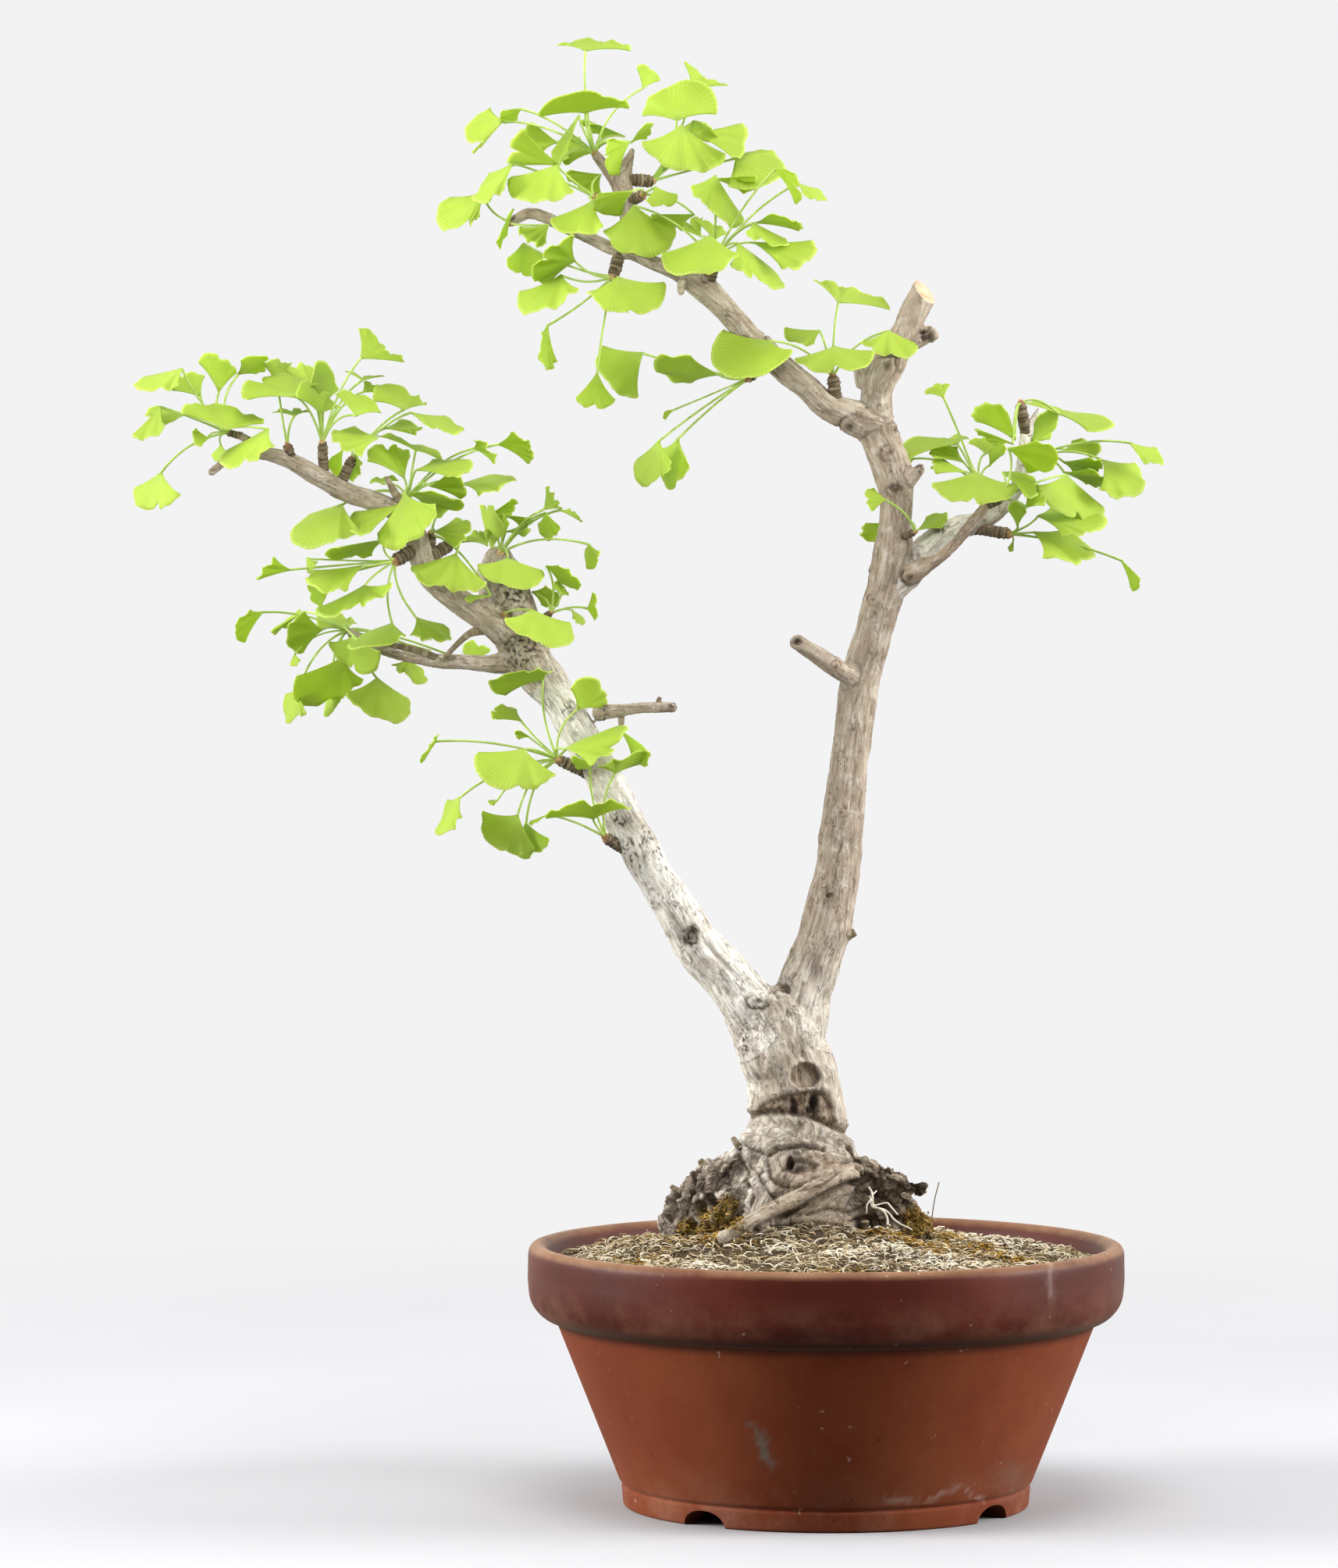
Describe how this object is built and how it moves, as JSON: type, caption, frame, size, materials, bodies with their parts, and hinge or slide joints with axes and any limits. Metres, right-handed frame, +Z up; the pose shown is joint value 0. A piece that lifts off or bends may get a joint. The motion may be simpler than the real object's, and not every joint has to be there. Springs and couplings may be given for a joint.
{
  "type": "ginkgo bonsai in a terracotta bowl",
  "caption": "Two-trunked ginkgo bonsai with fan leaves on short spurs, rooted in a round terracotta training bowl with notched foot and moss-dressed soil.",
  "frame": {"origin": "middle of the whole part's bounding box in plan, on the surface that the bowl's foot stands on", "axes": "+Z up along the trunks, +X toward the right-hand trunk and -Y toward the side from which the tree is viewed"},
  "size_m": [0.5162, 0.3, 0.7389],
  "materials": {
    "terracotta": "matte",
    "screen_mesh": "matte",
    "soil": "matte",
    "bark": "matte",
    "leaf": "satin"
  },
  "bodies": {
    "root": {"pot": "terracotta", "drain_screen": "screen_mesh", "soil": "soil", "tree": "bark", "leaves_tipSpur": "leaf", "leaves_backNub": "leaf", "leaves_tallSpur": "leaf", "leaves_slantSpur": "leaf", "leaves_innerSpur": "leaf", "leaves_knuckleSpur": "leaf", "leaves_lowerLeftEnd": "leaf", "leaves_darkSpur": "leaf", "leaves_ringSpur": "leaf", "leaves_stumpSpur": "leaf", "leaves_barkSpur": "leaf", "leaves_hookSpur": "leaf", "leaves_midSpur": "leaf", "leaves_lowSpur": "leaf", "leaves_endSpur": "leaf", "leaves_hangSpur": "leaf", "leaves_scarSpur": "leaf", "leaves_underSpur": "leaf", "leaves_nearSpur": "leaf", "leaves_crownSpur": "leaf", "leaves_sideSpur": "leaf", "leaves_ringedSpur": "leaf", "leaves_budSpur": "leaf", "leaves_rightSpur": "leaf", "leaves_midRightSpur": "leaf", "leaves_frontSpur": "leaf", "leaves_highSpur": "leaf", "leaves_backSpur": "leaf", "leaves_trunkBud": "leaf"}
  },
  "joints": []
}
